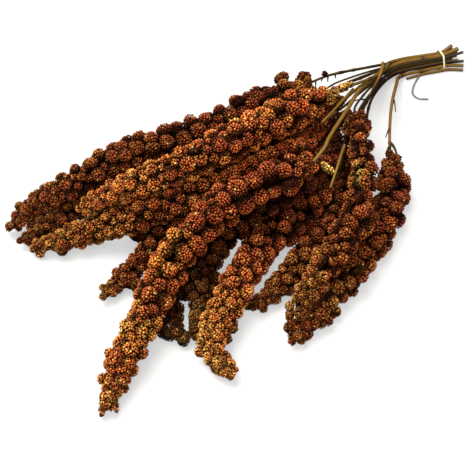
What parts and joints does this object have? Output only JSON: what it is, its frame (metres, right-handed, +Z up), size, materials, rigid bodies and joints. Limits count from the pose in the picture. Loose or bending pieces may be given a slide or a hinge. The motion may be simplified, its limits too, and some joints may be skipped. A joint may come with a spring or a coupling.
{
  "type": "tied bunch of millet seed heads",
  "caption": "Bunch of dried red foxtail millet: lobed seed heads lie heaped in a fan and their straw stems run together to a thin wire tie near the cut ends.",
  "frame": {"origin": "on the surface that the bunch lies on, under the middle of its outline", "axes": "+X from the tips of the heads to the cut stem ends, +Z up"},
  "size_m": [0.444, 0.2168, 0.0718],
  "materials": {
    "seed_husk": "red-brown seed husks, satin",
    "straw": "dry straw, satin",
    "coated_wire": "cream coating, matt"
  },
  "bodies": {
    "root": {"head_1": "seed_husk", "head_2": "seed_husk", "head_3": "seed_husk", "head_4": "seed_husk", "head_5": "seed_husk", "head_6": "seed_husk", "head_7": "seed_husk", "head_8": "seed_husk", "head_9": "seed_husk", "head_10": "seed_husk", "head_11": "seed_husk", "head_12": "seed_husk", "stem_1": "straw", "stem_2": "straw", "stem_3": "straw", "stem_4": "straw", "stem_5": "straw", "stem_6": "straw", "stem_7": "straw", "stem_8": "straw", "stem_9": "straw", "stem_10": "straw", "stem_11": "straw", "stem_12": "straw", "tie_wire": "coated_wire"}
  },
  "joints": []
}
